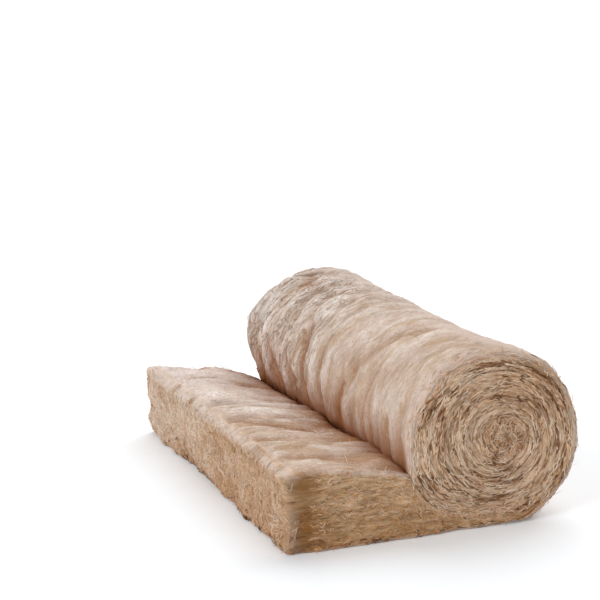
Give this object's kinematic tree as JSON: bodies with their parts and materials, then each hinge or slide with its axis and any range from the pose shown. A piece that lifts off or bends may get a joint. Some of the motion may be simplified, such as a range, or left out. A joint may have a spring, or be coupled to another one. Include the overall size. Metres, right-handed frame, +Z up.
{
  "type": "insulation roll",
  "caption": "Mineral wool loft insulation mat wound in a roll that lies on its side, with its free end unrolled flat on the floor.",
  "frame": {"origin": "middle of the footprint, on the floor", "axes": "+Z up, Y along the roll's axis with the end seen from the front facing -Y, free end of the mat towards -X"},
  "size_m": [0.65, 1.14, 0.386],
  "materials": {
    "wool": "matt, fibrous"
  },
  "bodies": {
    "root": {"wool_roll": "wool"}
  },
  "joints": []
}
